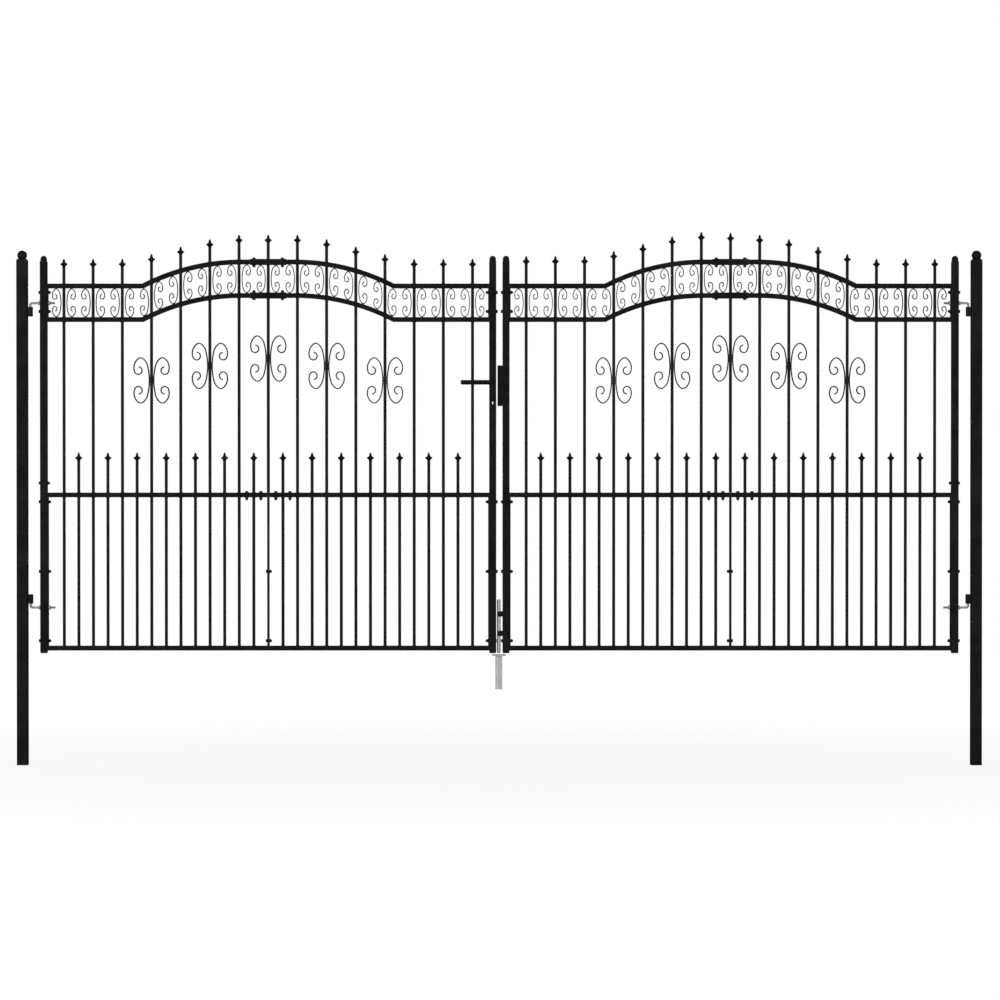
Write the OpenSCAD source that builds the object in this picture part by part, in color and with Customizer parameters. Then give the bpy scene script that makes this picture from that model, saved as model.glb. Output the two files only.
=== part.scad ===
// Double-leaf driveway gate with arched frieze, spear tips and scroll work, hung between two posts.
// Millimetres. Z is up, X runs along the gate and the outer side of the gate faces -Y.
// The origin is the middle of the left post's foot.

/* [Posts] */
// Width over the outer faces of both posts
overall_w = 4060; // [3600:10:4400]
// Side of the square post tube
post_side = 45; // [40:1:60]
// Length of the post tube, from its foot in the ground to the cap
post_h = 2121; // [2000:1:2300]
// Wall of the post tube
post_wall = 2; // [1.5:0.5:4]
// Diameter of the ball on the post cap
ball_d = 41; // [30:1:44]
// Height of the ball's centre over the post tube
ball_lift = 23.5; // [20:0.5:30]
// Height of the cap's taper
cap_h = 9; // [6:0.5:12]
// Side of the cap's top, under the ball
cap_top = 34; // [24:1:40]
// Depth of the cap's plug in the post
post_plug = 18; // [10:1:30]
// Thickness of the plate that closes the post's foot
post_foot_t = 3; // [2:0.5:5]

/* [Leaves] */
// Space from a post to the hinge stile
hinge_gap = 53; // [48:1:70]
// Space between the two meeting stiles
meeting_gap = 26; // [24:1:40]
// Side of the square stile tube
stile_side = 30; // [25:1:40]
// Wall of the stile tube
stile_wall = 2; // [1.5:0.5:3]
// Level of the stile tube's lower end
stile_foot_z = 481; // [420:1:520]
// Level of the stile tube's upper end
stile_top_z = 2115; // [2060:1:2180]
// Height of the tapered foot plug under a stile
foot_h = 10; // [6:1:16]
// Width that a foot plug loses over its height
foot_taper = 4; // [2:0.5:12]
// Thickness of the flange of a stile's cap
flange_t = 4; // [3:0.5:6]
// Height of the cap's straight neck, under its dome
neck_h = 10; // [4:0.5:12]
// Space from the flange's edge to the neck
neck_inset = 1; // [0.5:0.5:4]
// Depth of the cap's and the foot's plugs in the stile
stile_plug = 14; // [8:1:20]

/* [Rails] */
// Side of the square rail tube
rail_side = 20; // [16:1:25]
// Level of the bottom rail's centre
bottom_rail_z = 492; // [450:1:560]
// Level of the middle rail's centre
middle_rail_z = 1137; // [1000:1:1250]
// Level of the lower frieze rail's centre beside the stiles
frieze_rail_z = 1875; // [1800:1:1920]
// Height from the lower frieze rail to the top rail
frieze_h = 141; // [120:0.5:160]
// Rise of the arch in both frieze rails
arch_rise = 101; // [60:1:120]
// Radius of the arch
arch_r = 900; // [820:1:1000]
// Space from the end of the arch's flat crown to the first picket
crown_gap = 3; // [2:0.5:20]
// Thickness of the end plates that bolt to the stiles
plate_t = 4; // [3:0.5:6]
// Depth of the end plates
plate_d = 24; // [20:1:28]
// Outer side of the sleeve that joins the two halves of a frieze rail
sleeve_side = 25; // [24:0.5:30]
// Length of the sleeve
sleeve_l = 152; // [100:1:180]

/* [Pickets] */
// Diameter of the round pickets
picket_d = 13; // [10:0.5:14]
// Spacing of the long pickets
picket_pitch = 122.8; // [116:0.1:124]
// Level of the long tips beside the stiles
long_tip_z = 2132; // [2090:1:2180]
// Level of the short tips
short_tip_z = 1317; // [1240:1:1400]
// Height that the line of long tips climbs from one picket to the next
tip_step = 31; // [20:1:36]
// Number of spacings from the leaf's middle to where that line starts
tip_start = 4.66; // [4.2:0.01:4.9]
// Height that the right leaf's inner long tips stand over the others
inner_lift = 12; // [0:1:20]
// Height that the right leaf's middle tip stands over the left leaf's
middle_lift = 8; // [0:1:20]
// Diameter of the flare on a spear tip
tip_d = 31; // [22:1:34]
// Height of a spear tip
tip_h = 37; // [28:1:44]

/* [Scrolls] */
// Bar thickness of the scrolls on the pickets
scroll_t = 5; // [3:0.5:6]
// Bar depth of the scrolls on the pickets
scroll_d = 10; // [8:1:12]
// Height of the scrolls on the pickets
scroll_h = 195; // [160:1:220]
// Level of the scrolls on the middle picket
scroll_z = 1711; // [1660:1:1740]
// Drop of the scrolls two pickets from the middle
scroll_drop_near = 31; // [0:1:50]
// Drop of the scrolls four pickets from the middle
scroll_drop_far = 92; // [0:1:120]
// Bar thickness of the frieze scrolls
frieze_t = 4; // [2:0.5:5]
// Bar depth of the frieze scrolls
frieze_d = 8; // [6:1:10]
// Distance from a picket's centre to the spine of a frieze scroll
frieze_spine = 12.5; // [10:0.5:14]
// Width of a frieze scroll against that of a picket's scroll of the same height
frieze_slim = 0.9; // [0.8:0.01:1]

/* [Hinges] */
// Distance from the post to the hinge axis
hinge_reach = 12; // [11:0.5:16]
// Diameter of the hinge bolt
bolt_d = 10; // [8:1:12]
// Bend radius of the hinge bolt
bend_r = 8; // [7:1:14]
// Height of the hinge eye
eye_h = 40; // [30:1:60]
// Outer diameter of the hinge eye
eye_d = 21; // [18:1:24]
// Level of the upper hinge eye's top
upper_eye_z = 1928; // [1900:1:1936]
// Level of the lower hinge eye's underside
lower_eye_z = 679; // [600:1:760]
// Distance from an eye to the level leg of its bolt
leg_lift = 16; // [16:1:24]
// Length of thread that shows past the hinge stile
thread_l = 33; // [18:1:36]
// Size of a hinge nut across its flats
nut_af = 17; // [14:1:19]
// Thickness of a hinge nut
nut_h = 8; // [6:1:9]
// Distance that the bolt's pin stops short of the far end of its eye
pin_short = 4; // [2:0.5:8]

/* [Lock] */
// Level of the lever
lever_z = 1611; // [1400:1:1700]
// Length of the lever from its pivot
lever_l = 134; // [110:1:150]
// Diameter of the round lever bar
lever_d = 16; // [14:1:20]
// Distance from the stile to the lever's centre line
lever_off = 42; // [36:1:60]
// Side of the square spindle
spindle_side = 8; // [7:0.5:9]
// Length of spindle that goes into the rear lever
spindle_l = 19; // [12:1:30]
// Diameter of the lever's hub on the stile
hub_d = 25; // [20:1:28]
// Thickness of the lever's hub
hub_t = 6; // [4:0.5:10]
// Space from the hub to the stile
hub_gap = 0.5; // [0.3:0.1:1]
// Depth of the keyhole's round below the lever
key_drop = 85; // [70:1:110]
// Diameter of the keyhole's round
key_d = 6.2; // [6:0.2:9]
// Width of the keyhole's slot
key_slot_w = 3; // [3:0.5:5.5]
// Length of the keyhole's slot, from the middle of its round
key_slot_l = 8; // [6:0.5:14]
// Level of the keep's underside
keep_z = 1511; // [1300:1:1520]
// Height of the keep
keep_h = 171; // [150:1:190]
// Depth of the keep
keep_d = 26; // [20:1:28]
// Space from the keep to the other leaf
keep_gap = 5; // [5:0.5:8]
// Sheet thickness of the keep
keep_t = 3; // [2:0.5:4]
// Width of the slots in the keep
slot_w = 14; // [8:1:18]
// Height of the latch's slot
latch_slot_h = 30; // [20:1:34]
// Height of the lock bolt's slot
bolt_slot_h = 36; // [24:1:38]

/* [Drop bolt] */
// Diameter of the drop bolt
rod_d = 15; // [12:1:15]
// Level of the drop bolt's top when it is drawn up
rod_top_z = 697; // [660:1:760]
// Space from the drop bolt to the other leaf's stile
rod_gap = 3; // [3:0.5:4]
// Level of the upper guide's underside
upper_guide_z = 625; // [600:1:640]
// Level of the lower guide's underside
lower_guide_z = 543; // [520:1:580]
// Height of a guide
guide_h = 22; // [18:1:30]
// Width of a guide, measured from its stile
guide_w = 20; // [19:0.5:21]
// Wall of a guide beside the drop bolt
guide_wall = 4; // [3:0.5:6]
// Chamfer at the foot of the drop bolt
rod_chamfer = 2; // [1:0.5:3]
// Outer diameter of the ground socket
socket_d = 30; // [26:1:36]
// Wall of the ground socket
socket_wall = 3; // [2:0.5:4]
// Length of the ground socket below its plate
socket_l = 141; // [100:1:200]
// Side of the socket plate
socket_plate = 58; // [48:1:80]
// Thickness of the socket plate
socket_plate_t = 5; // [4:0.5:8]
// Space from the socket plate up to the feet of the stiles
ground_gap = 6; // [6:1:30]

/* [Fits] */
// Space at bolted and welded seats
seat = 0.3; // [0.2:0.05:0.5]
// Radial space of a turning or sliding round in its hole
run = 0.2; // [0.1:0.05:0.4]

/* [Hidden] */
$fn = 48;
black = [0.11, 0.11, 0.12];
zinc = [0.68, 0.68, 0.70];
post_pitch = overall_w - post_side;
left_axis_x = post_side / 2 + hinge_reach;
right_axis_x = post_pitch - left_axis_x;
stile_u = hinge_gap - hinge_reach;
leaf_w = (overall_w - meeting_gap) / 2 - post_side - hinge_gap;
leaf_end = stile_u + leaf_w;
meeting_u = leaf_end - stile_side;
mid_u = stile_u + leaf_w / 2;
half_span = leaf_w / 2 - stile_side - seat;
top_rail_z = frieze_rail_z + frieze_h;
pocket = stile_side - 2 * stile_wall - 2 * seat;
tip_r = tip_d / 2;
picket_r = picket_d / 2;
// Widest frieze scroll past a picket's centre, and the long pickets on each side that leave room for it
scroll_reach = frieze_spine + 0.35 * frieze_slim * frieze_h;
long_side = floor((half_span - plate_t - scroll_reach) / picket_pitch);
arch_flat = picket_pitch - picket_r - crown_gap;
kink = arch_flat + sqrt(2 * arch_r * arch_rise - arch_rise * arch_rise);
upper_leg_z = upper_eye_z + leg_lift;
lower_leg_z = lower_eye_z - leg_lift;
pin_l = leg_lift + eye_h - bend_r - pin_short;
leg_end = stile_u + stile_side + thread_l;
bolt_hole = bolt_d / 2 + seat;
lever_u = meeting_u + stile_side / 2;
key_z = lever_z - key_drop;
keep_w = meeting_gap - keep_gap;
latch_slot_z = lever_z - latch_slot_h / 2;
bolt_slot_z = (key_z + latch_slot_z - bolt_slot_h) / 2;
rod_u = leaf_end + meeting_gap - rod_gap - rod_d / 2;
rod_foot_z = stile_foot_z - foot_h + 0.5;
rod_l = rod_top_z - rod_foot_z;
socket_x = right_axis_x - rod_u;
socket_top_z = stile_foot_z - foot_h - ground_gap;

// Arcs of one half of a C scroll from the middle of its spine: radius and turn, for a unit half height
arcs = [[2.726, 14], [0.556, 38.5], [0.168, 76], [0.514, 73], [0.168, 203.5], [0.147, 45]];
// Width of that unit scroll at the top of its curl, and the radius of the curl
curl_u = 0.384;
curl_r = 0.168;

// Outline of a spear tip: share of its flare past the picket, and share of its height
spear = [[0, 0], [0.126, 0.135], [0.863, 0.284], [1, 0.351], [0.863, 0.419], [0.21, 0.5], [-0.03, 0.568],
    [-0.095, 0.676], [-0.19, 0.77], [-0.347, 0.878]];

// Heading at the start of arc n
function heading(n) = n == 0 ? 90 : heading(n - 1) - arcs[n - 1][1];
// Step along an arc of radius r from heading a to heading b
function arc_step(r, a, b) = r * [sin(a) - sin(b), cos(b) - cos(a)];
// Start of arc n
function arc_start(n) =
    n == 0 ? [0, 0] : arc_start(n - 1) + arc_step(arcs[n - 1][0], heading(n - 1), heading(n));
// Points of the half scroll, set off to one side by t, at true size s
function half_scroll(s, t) = [
    for (n = [0:len(arcs) - 1])
        let (count = max(2, round(arcs[n][1] / 19)))
        for (i = [(n == 0 ? 0 : 1):count])
            let (a = heading(n) - arcs[n][1] * i / count)
            s * (arc_start(n) + arc_step(arcs[n][0], heading(n), a)) + t * [-sin(a), cos(a)]
];
function slimmed(list, slim) = [for (p = list) [p[0] * slim, p[1]]];
function backward(list) = [for (i = [len(list) - 1:-1:0]) list[i]];
function upside_down(list) = [for (p = list) [p[0], -p[1]]];
function without_first(list) = [for (i = [1:len(list) - 1]) list[i]];

// Rise of the arch at distance w from the leaf's middle, and the slope factor there
function rise(w) =
    abs(w) <= arch_flat ? arch_rise
    : abs(w) < kink ? arch_rise - arch_r + sqrt(arch_r * arch_r - pow(abs(w) - arch_flat, 2))
    : 0;
function slant(w) =
    abs(w) <= arch_flat || abs(w) >= kink ? 1 : 1 / sqrt(1 - pow((abs(w) - arch_flat) / arch_r, 2));
// Half height of a frieze rail or of its sleeve at distance w
function rail_half(w) = abs(w) < sleeve_l / 2 + 1 ? sleeve_side / 2 : rail_side / 2 * slant(w);
// Highest and lowest centre of a round of radius r that stays between the frieze rails at distance w
function curl_top(w, r) =
    min([for (a = [-40:8:40]) top_rail_z + rise(w + r * sin(a)) - rail_half(w + r * sin(a)) - r * cos(a)]);
function curl_foot(w, r) =
    max([for (a = [-40:8:40]) frieze_rail_z + rise(w + r * sin(a)) + rail_half(w + r * sin(a)) + r * cos(a)]);
// Edge of an arched rail at offset h from its centre line: end of the crown, points between the pickets, kink
function arch_edge(h) =
    let (r = arch_r + h, drop = arch_r - arch_rise)
    concat(
        [[arch_flat, arch_rise + h]],
        [for (k = [1:0.25:long_side])
            let (x = (k + 0.125) * picket_pitch - arch_flat)
            if (arch_flat + x < kink - picket_d)
                [arch_flat + x * r / arch_r, r * sqrt(1 - pow(x / arch_r, 2)) - drop]],
        [[arch_flat + sqrt(r * r - pow(drop + h, 2)), h]]);
// Level of a long tip at distance w from the leaf's middle
function tip_z(w) =
    long_tip_z + max(0, min(arch_rise, tip_step * (tip_start - abs(w) / picket_pitch)));

// Leaf frame: X runs from the hinge axis to the meeting stile
module on_left() {
    translate([left_axis_x, 0, 0]) children();
}

module on_right() {
    translate([right_axis_x, 0, 0]) mirror([1, 0, 0]) children();
}

// Bar with X from x0 to x1, centred on Y and Z
module bar(x0, x1, depth, height) {
    translate([x0, -depth / 2, -height / 2]) cube([x1 - x0, depth, height]);
}

// Square block centred on Z, standing on z = 0
module block(side, height) {
    translate([-side / 2, -side / 2, 0]) cube([side, side, height]);
}

// Square taper standing on z = 0
module taper(low, high, height) {
    rotate([0, 0, 45]) cylinder(r1 = low / sqrt(2), r2 = high / sqrt(2), h = height, $fn = 4);
}

module round_x(x0, x1, r) {
    translate([x0, 0, 0]) rotate([0, 90, 0]) cylinder(r = r, h = x1 - x0);
}

module round_y(y0, y1, r) {
    translate([0, y1, 0]) rotate([90, 0, 0]) cylinder(r = r, h = y1 - y0);
}

module post() {
    difference() {
        block(post_side, post_h);
        translate([0, 0, post_foot_t]) block(post_side - 2 * post_wall, post_h);
    }
}

module post_cap() {
    translate([0, 0, post_h + seat]) {
        taper(post_side, cap_top, cap_h);
        translate([0, 0, ball_lift]) sphere(d = ball_d);
        translate([0, 0, -post_plug]) block(post_side - 2 * post_wall - 2 * seat, post_plug);
    }
}

// Eye on the post, with its underside on z = 0
module hinge_eye() {
    difference() {
        union() {
            cylinder(d = eye_d, h = eye_h);
            translate([seat - hinge_reach, -eye_d / 2, 0]) cube([hinge_reach - seat, eye_d, eye_h]);
        }
        translate([0, 0, -1]) cylinder(r = bolt_d / 2 + run, h = eye_h + 2);
    }
}

module upper_eye() {
    translate([0, 0, upper_eye_z - eye_h]) hinge_eye();
}

module lower_eye() {
    translate([0, 0, lower_eye_z]) hinge_eye();
}

module stile_tube() {
    translate([0, 0, stile_foot_z]) difference() {
        block(stile_side, stile_top_z - stile_foot_z);
        translate([0, 0, -1]) block(stile_side - 2 * stile_wall, stile_top_z - stile_foot_z + 2);
    }
}

module hinge_stile() {
    translate([stile_u + stile_side / 2, 0, 0]) difference() {
        stile_tube();
        for (z = [upper_leg_z, lower_leg_z])
            translate([0, 0, z]) round_x(-stile_side, stile_side, bolt_hole);
    }
}

module meeting_stile() {
    translate([meeting_u + stile_side / 2, 0, 0]) stile_tube();
}

// Meeting stile with the holes for the spindle and the key
module lock_stile() {
    difference() {
        meeting_stile();
        translate([lever_u, 0, lever_z]) round_y(-stile_side, stile_side, spindle_side * 0.85);
        translate([lever_u, 0, key_z]) round_y(-stile_side, stile_side, key_d / 2);
        translate([lever_u - key_slot_w / 2, -stile_side, key_z - key_slot_l])
            cube([key_slot_w, 2 * stile_side, key_slot_l]);
    }
}

module at_stiles() {
    for (u = [stile_u, meeting_u])
        translate([u + stile_side / 2, 0, 0]) children();
}

module stile_caps() {
    dome = stile_side / 2 - neck_inset;
    at_stiles() translate([0, 0, stile_top_z + seat]) {
        block(stile_side, flange_t);
        translate([0, 0, flange_t]) cylinder(r = dome, h = neck_h);
        translate([0, 0, flange_t + neck_h]) rotate_extrude() intersection() {
            circle(r = dome);
            square(dome);
        }
        translate([0, 0, -stile_plug]) block(pocket, stile_plug);
    }
}

module stile_feet() {
    at_stiles() translate([0, 0, stile_foot_z - foot_h]) {
        taper(stile_side - foot_taper, stile_side, foot_h - seat);
        translate([0, 0, foot_h - seat]) block(pocket, stile_plug);
    }
}

// Round picket with its spear tip
module picket(foot_z, top_z) {
    base = top_z - tip_h;
    rotate_extrude() polygon(concat(
        [[0, foot_z], [picket_r, foot_z]],
        [for (s = spear) [picket_r + s[0] * (tip_r - picket_r), base + s[1] * tip_h]],
        [[picket_r / 6, top_z - tip_h / 31], [0, top_z]]));
}

// Half of a frieze rail, from the leaf's middle toward +X. Its corners lie between the pickets.
module arch_rail(z) {
    start = picket_r + 2 * seat;
    end = half_span - plate_t / 2;
    above = arch_edge(rail_side / 2);
    below = arch_edge(-rail_side / 2);
    translate([0, rail_side / 2, z]) rotate([90, 0, 0]) linear_extrude(rail_side)
        polygon(concat(
            [[start, above[0][1]]], above, [[end, rail_side / 2], [end, -rail_side / 2]],
            backward(below), [[start, below[0][1]]]));
}

// Upright end plate with its X range, from the underside of the rail at z0 to the top of the rail at z1
module end_plate(x0, x1, z0, z1) {
    translate([x0, -plate_d / 2, z0 - rail_side / 2]) cube([x1 - x0, plate_d, z1 - z0 + rail_side]);
}

// Welded half of a leaf's infill, from the leaf's middle toward +X, with its long tips raised by lift
module half_panel(lift = 0) {
    for (z = [frieze_rail_z, top_rail_z]) arch_rail(z);
    for (z = [bottom_rail_z, middle_rail_z])
        translate([0, 0, z]) bar(plate_t / 2 + seat, half_span - plate_t / 2, rail_side, rail_side);
    end_plate(half_span - plate_t, half_span, frieze_rail_z, top_rail_z);
    end_plate(half_span - plate_t, half_span, bottom_rail_z, middle_rail_z);
    end_plate(seat / 2, plate_t + 0.5, bottom_rail_z, middle_rail_z);
    for (k = [1:long_side])
        translate([k * picket_pitch, 0, 0]) picket(bottom_rail_z, tip_z(k * picket_pitch) + lift);
    for (k = [1:long_side])
        translate([(k - 0.5) * picket_pitch, 0, 0]) picket(bottom_rail_z, short_tip_z);
}

module inner_panel(lift = 0) {
    translate([mid_u, 0, 0]) half_panel(lift);
}

module outer_panel() {
    difference() {
        translate([mid_u, 0, 0]) mirror([1, 0, 0]) half_panel();
        for (z = [upper_leg_z, lower_leg_z])
            translate([0, 0, z]) round_x(stile_u, stile_u + 2 * stile_side, bolt_hole);
    }
}

module centre_picket(lift = 0) {
    translate([mid_u, 0, 0]) picket(middle_rail_z + rail_side / 2 + seat, tip_z(0) + lift);
}

module rail_sleeves() {
    for (z = [frieze_rail_z, top_rail_z])
        translate([mid_u, 0, z + arch_rise]) difference() {
            bar(-sleeve_l / 2, sleeve_l / 2, sleeve_side, sleeve_side);
            bar(-sleeve_l, sleeve_l, rail_side + 2 * seat, rail_side + 2 * seat);
            translate([0, 0, -sleeve_side]) cylinder(r = picket_r + seat, h = 2 * sleeve_side);
        }
}

// C scroll of flat bar, its spine on z = 0 at x = 0, curling toward +X
module c_scroll(height, thick, depth, slim = 1) {
    size = (height - thick) / 2;
    outside = slimmed(half_scroll(size, thick / 2), slim);
    inside = slimmed(half_scroll(size, -thick / 2), slim);
    rotate([90, 0, 0]) translate([0, 0, -depth / 2]) linear_extrude(depth)
        polygon(concat(
            outside, backward(inside),
            without_first(upside_down(inside)), backward(without_first(upside_down(outside)))));
}

// Frieze scroll beside the picket at distance w, on its side toward dir
module frieze_scroll(w, dir) {
    free = (frieze_h - sleeve_side) / 2;
    r = curl_r * free + frieze_t / 2 + seat;
    curl_w = w + dir * (frieze_spine + curl_u * frieze_slim * free);
    high = curl_top(curl_w, r) + r - seat;
    low = curl_foot(curl_w, r) - r + seat;
    translate([w + dir * frieze_spine, 0, (high + low) / 2])
        mirror([dir < 0 ? 1 : 0, 0, 0]) c_scroll(high - low, frieze_t, frieze_d, frieze_slim);
}

module frieze_scrolls() {
    translate([mid_u, 0, 0])
        for (k = [-long_side:long_side], dir = [-1, 1])
            frieze_scroll(k * picket_pitch, dir);
}

module scroll_pair(w, z) {
    for (dir = [0, 1])
        translate([w, 0, z]) mirror([dir, 0, 0])
            translate([picket_r + seat + scroll_t / 2, 0, 0]) c_scroll(scroll_h, scroll_t, scroll_d);
}

module picket_scrolls() {
    translate([mid_u, 0, 0]) {
        scroll_pair(0, scroll_z);
        for (s = [-1, 1]) {
            scroll_pair(2 * s * picket_pitch, scroll_z - scroll_drop_near);
            scroll_pair(4 * s * picket_pitch, scroll_z - scroll_drop_far);
        }
    }
}

// Bent hinge bolt with its level leg on z = 0 and its pin pointing down on the hinge axis
module hinge_bolt() {
    round_x(bend_r, leg_end, bolt_d / 2);
    translate([bend_r, 0, -bend_r]) rotate([90, 0, 0]) rotate([0, 0, 90])
        rotate_extrude(angle = 90) translate([bend_r, 0]) circle(d = bolt_d);
    translate([0, 0, -bend_r - pin_l]) cylinder(d = bolt_d, h = pin_l);
}

module upper_hinge_bolt() {
    translate([0, 0, upper_leg_z]) hinge_bolt();
}

module lower_hinge_bolt() {
    translate([0, 0, lower_leg_z]) mirror([0, 0, 1]) hinge_bolt();
}

module hinge_nuts() {
    inner = stile_u + stile_side + plate_t + 2 * seat;
    for (z = [upper_leg_z, lower_leg_z], u = [stile_u - seat - nut_h, inner])
        translate([u, 0, z]) difference() {
            rotate([0, 90, 0]) cylinder(d = nut_af / cos(30), h = nut_h, $fn = 6);
            round_x(-1, nut_h + 1, bolt_d / 2 + run);
        }
}

// Lever with its hub on the stile's face, pointing back along the leaf
module lever_bar() {
    face = stile_side / 2 + hub_gap;
    reach = stile_side / 2 + lever_off;
    round_y(-face - hub_t, -face, hub_d / 2);
    round_y(-reach, -face, lever_d / 2);
    translate([0, -reach, 0]) {
        sphere(d = lever_d);
        round_x(-lever_l, 0, lever_d / 2);
    }
}

module front_lever() {
    translate([lever_u, 0, lever_z]) {
        lever_bar();
        translate([-spindle_side / 2, -stile_side / 2 - 1, -spindle_side / 2])
            cube([spindle_side, stile_side + 1 + spindle_l, spindle_side]);
    }
}

module rear_lever() {
    socket = spindle_side + 2 * run;
    translate([lever_u, 0, lever_z]) difference() {
        mirror([0, 1, 0]) lever_bar();
        translate([-socket / 2, 0, -socket / 2]) cube([socket, stile_side / 2 + spindle_l + 1, socket]);
    }
}

// Sheet-steel keep with slots for the latch and the bolt of the lock
module lock_keep() {
    translate([leaf_end, 0, keep_z]) difference() {
        translate([seat, -keep_d / 2, 0]) cube([keep_w - seat, keep_d, keep_h]);
        translate([-1, keep_t - keep_d / 2, keep_t])
            cube([keep_w - keep_t + 1, keep_d - 2 * keep_t, keep_h - 2 * keep_t]);
        translate([0, -slot_w / 2, latch_slot_z - keep_z]) cube([keep_w + 1, slot_w, latch_slot_h]);
        translate([0, -slot_w / 2, bolt_slot_z - keep_z]) cube([keep_w + 1, slot_w, bolt_slot_h]);
    }
}

// Lugs that clasp more than half of the drop bolt
module bolt_guides() {
    for (z = [upper_guide_z, lower_guide_z])
        difference() {
            translate([leaf_end + seat, -rod_d / 2 - guide_wall, z])
                cube([guide_w - seat, rod_d + 2 * guide_wall, guide_h]);
            translate([rod_u, 0, z - 1]) cylinder(r = rod_d / 2 + run, h = guide_h + 2);
        }
}

module drop_bolt() {
    r = rod_d / 2;
    translate([rod_u, 0, rod_foot_z])
        rotate_extrude() polygon([
            [0, 0], [r - rod_chamfer, 0], [r, 1.5 * rod_chamfer], [r, rod_l - rod_chamfer / 2],
            [r - rod_chamfer / 2, rod_l], [0, rod_l]]);
}

module ground_socket() {
    bore = socket_d / 2 - socket_wall;
    translate([socket_x, 0, socket_top_z]) difference() {
        union() {
            translate([0, 0, -socket_plate_t]) block(socket_plate, socket_plate_t);
            translate([0, 0, -socket_plate_t - socket_l]) cylinder(d = socket_d, h = socket_l + 1);
        }
        translate([0, 0, -socket_plate_t - socket_l - 1])
            cylinder(r = bore, h = socket_l + socket_plate_t + 2);
    }
}

color(black) post();  // left_post
color(black) translate([post_pitch, 0, 0]) post();  // right_post
color(black) post_cap();  // left_post_cap
color(black) translate([post_pitch, 0, 0]) post_cap();  // right_post_cap
color(black) on_left() upper_eye();  // left_upper_hinge_eye
color(black) on_left() lower_eye();  // left_lower_hinge_eye
color(black) on_right() upper_eye();  // right_upper_hinge_eye
color(black) on_right() lower_eye();  // right_lower_hinge_eye
color(zinc) ground_socket();
color(black) on_left() hinge_stile();  // left_hinge_stile
color(black) on_left() lock_stile();  // left_meeting_stile
color(black) on_left() stile_caps();  // left_stile_caps
color(black) on_left() stile_feet();  // left_stile_feet
color(black) on_left() outer_panel();  // left_outer_panel
color(black) on_left() inner_panel();  // left_inner_panel
color(black) on_left() centre_picket();  // left_centre_picket
color(black) on_left() rail_sleeves();  // left_rail_sleeves
color(black) on_left() frieze_scrolls();  // left_frieze_scrolls
color(black) on_left() picket_scrolls();  // left_picket_scrolls
color(zinc) on_left() upper_hinge_bolt();  // left_upper_hinge_bolt
color(zinc) on_left() lower_hinge_bolt();  // left_lower_hinge_bolt
color(zinc) on_left() hinge_nuts();  // left_hinge_nuts
color(black) on_right() hinge_stile();  // right_hinge_stile
color(black) on_right() meeting_stile();  // right_meeting_stile
color(black) on_right() stile_caps();  // right_stile_caps
color(black) on_right() stile_feet();  // right_stile_feet
color(black) on_right() outer_panel();  // right_outer_panel
color(black) on_right() inner_panel(inner_lift);  // right_inner_panel
color(black) on_right() centre_picket(middle_lift);  // right_centre_picket
color(black) on_right() rail_sleeves();  // right_rail_sleeves
color(black) on_right() frieze_scrolls();  // right_frieze_scrolls
color(black) on_right() picket_scrolls();  // right_picket_scrolls
color(zinc) on_right() upper_hinge_bolt();  // right_upper_hinge_bolt
color(zinc) on_right() lower_hinge_bolt();  // right_lower_hinge_bolt
color(zinc) on_right() hinge_nuts();  // right_hinge_nuts
color(black) on_left() front_lever();
color(black) on_left() rear_lever();
color(black) on_right() lock_keep();
color(black) on_right() bolt_guides();
color(zinc) on_right() drop_bolt();
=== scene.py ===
# %% [markdown]
# # A double driveway gate
# The gate is welded from square tube, round bar and flat bar, coated black, and hung on zinc-plated bolts.
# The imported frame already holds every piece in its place, in metres, with its joints. This lesson dresses
# it: rounded tube corners, swept rails, turned spear tips, bent scrolls, weld beads, bolts, and the
# finishes.

# %% Load the frame
import math

import bmesh
import bpy
from mathutils import Matrix, Vector


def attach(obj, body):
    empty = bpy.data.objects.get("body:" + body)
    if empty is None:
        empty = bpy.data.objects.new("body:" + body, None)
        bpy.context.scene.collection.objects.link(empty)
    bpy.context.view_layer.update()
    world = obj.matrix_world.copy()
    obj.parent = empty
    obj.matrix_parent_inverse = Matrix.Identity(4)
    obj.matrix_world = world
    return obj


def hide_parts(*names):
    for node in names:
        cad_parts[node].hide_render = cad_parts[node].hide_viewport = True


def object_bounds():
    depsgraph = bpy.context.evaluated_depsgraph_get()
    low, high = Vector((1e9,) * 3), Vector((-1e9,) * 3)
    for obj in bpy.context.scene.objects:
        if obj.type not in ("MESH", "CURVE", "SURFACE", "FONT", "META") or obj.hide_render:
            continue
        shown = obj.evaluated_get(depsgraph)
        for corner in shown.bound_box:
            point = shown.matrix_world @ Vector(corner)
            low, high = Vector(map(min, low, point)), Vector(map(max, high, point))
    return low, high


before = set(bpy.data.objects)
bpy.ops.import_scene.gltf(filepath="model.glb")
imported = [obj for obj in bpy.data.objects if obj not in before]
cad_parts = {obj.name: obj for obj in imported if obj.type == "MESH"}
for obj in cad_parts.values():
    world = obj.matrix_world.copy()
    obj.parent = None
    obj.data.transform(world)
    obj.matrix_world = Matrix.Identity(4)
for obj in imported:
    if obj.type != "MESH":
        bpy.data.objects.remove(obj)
cad_low, cad_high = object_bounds()
print("nodes", len(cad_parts), "box", [round(v, 3) for v in cad_low], [round(v, 3) for v in cad_high])

# %% [markdown]
# ## The camera
# The photograph is taken nearly square on from far away, so the posts show only a sliver of their inner
# sides. A long lens twelve and a half metres off gives that. The lens follows from the distance and from
# the size of one pixel at the gate, and the camera looks down by half a degree.

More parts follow.
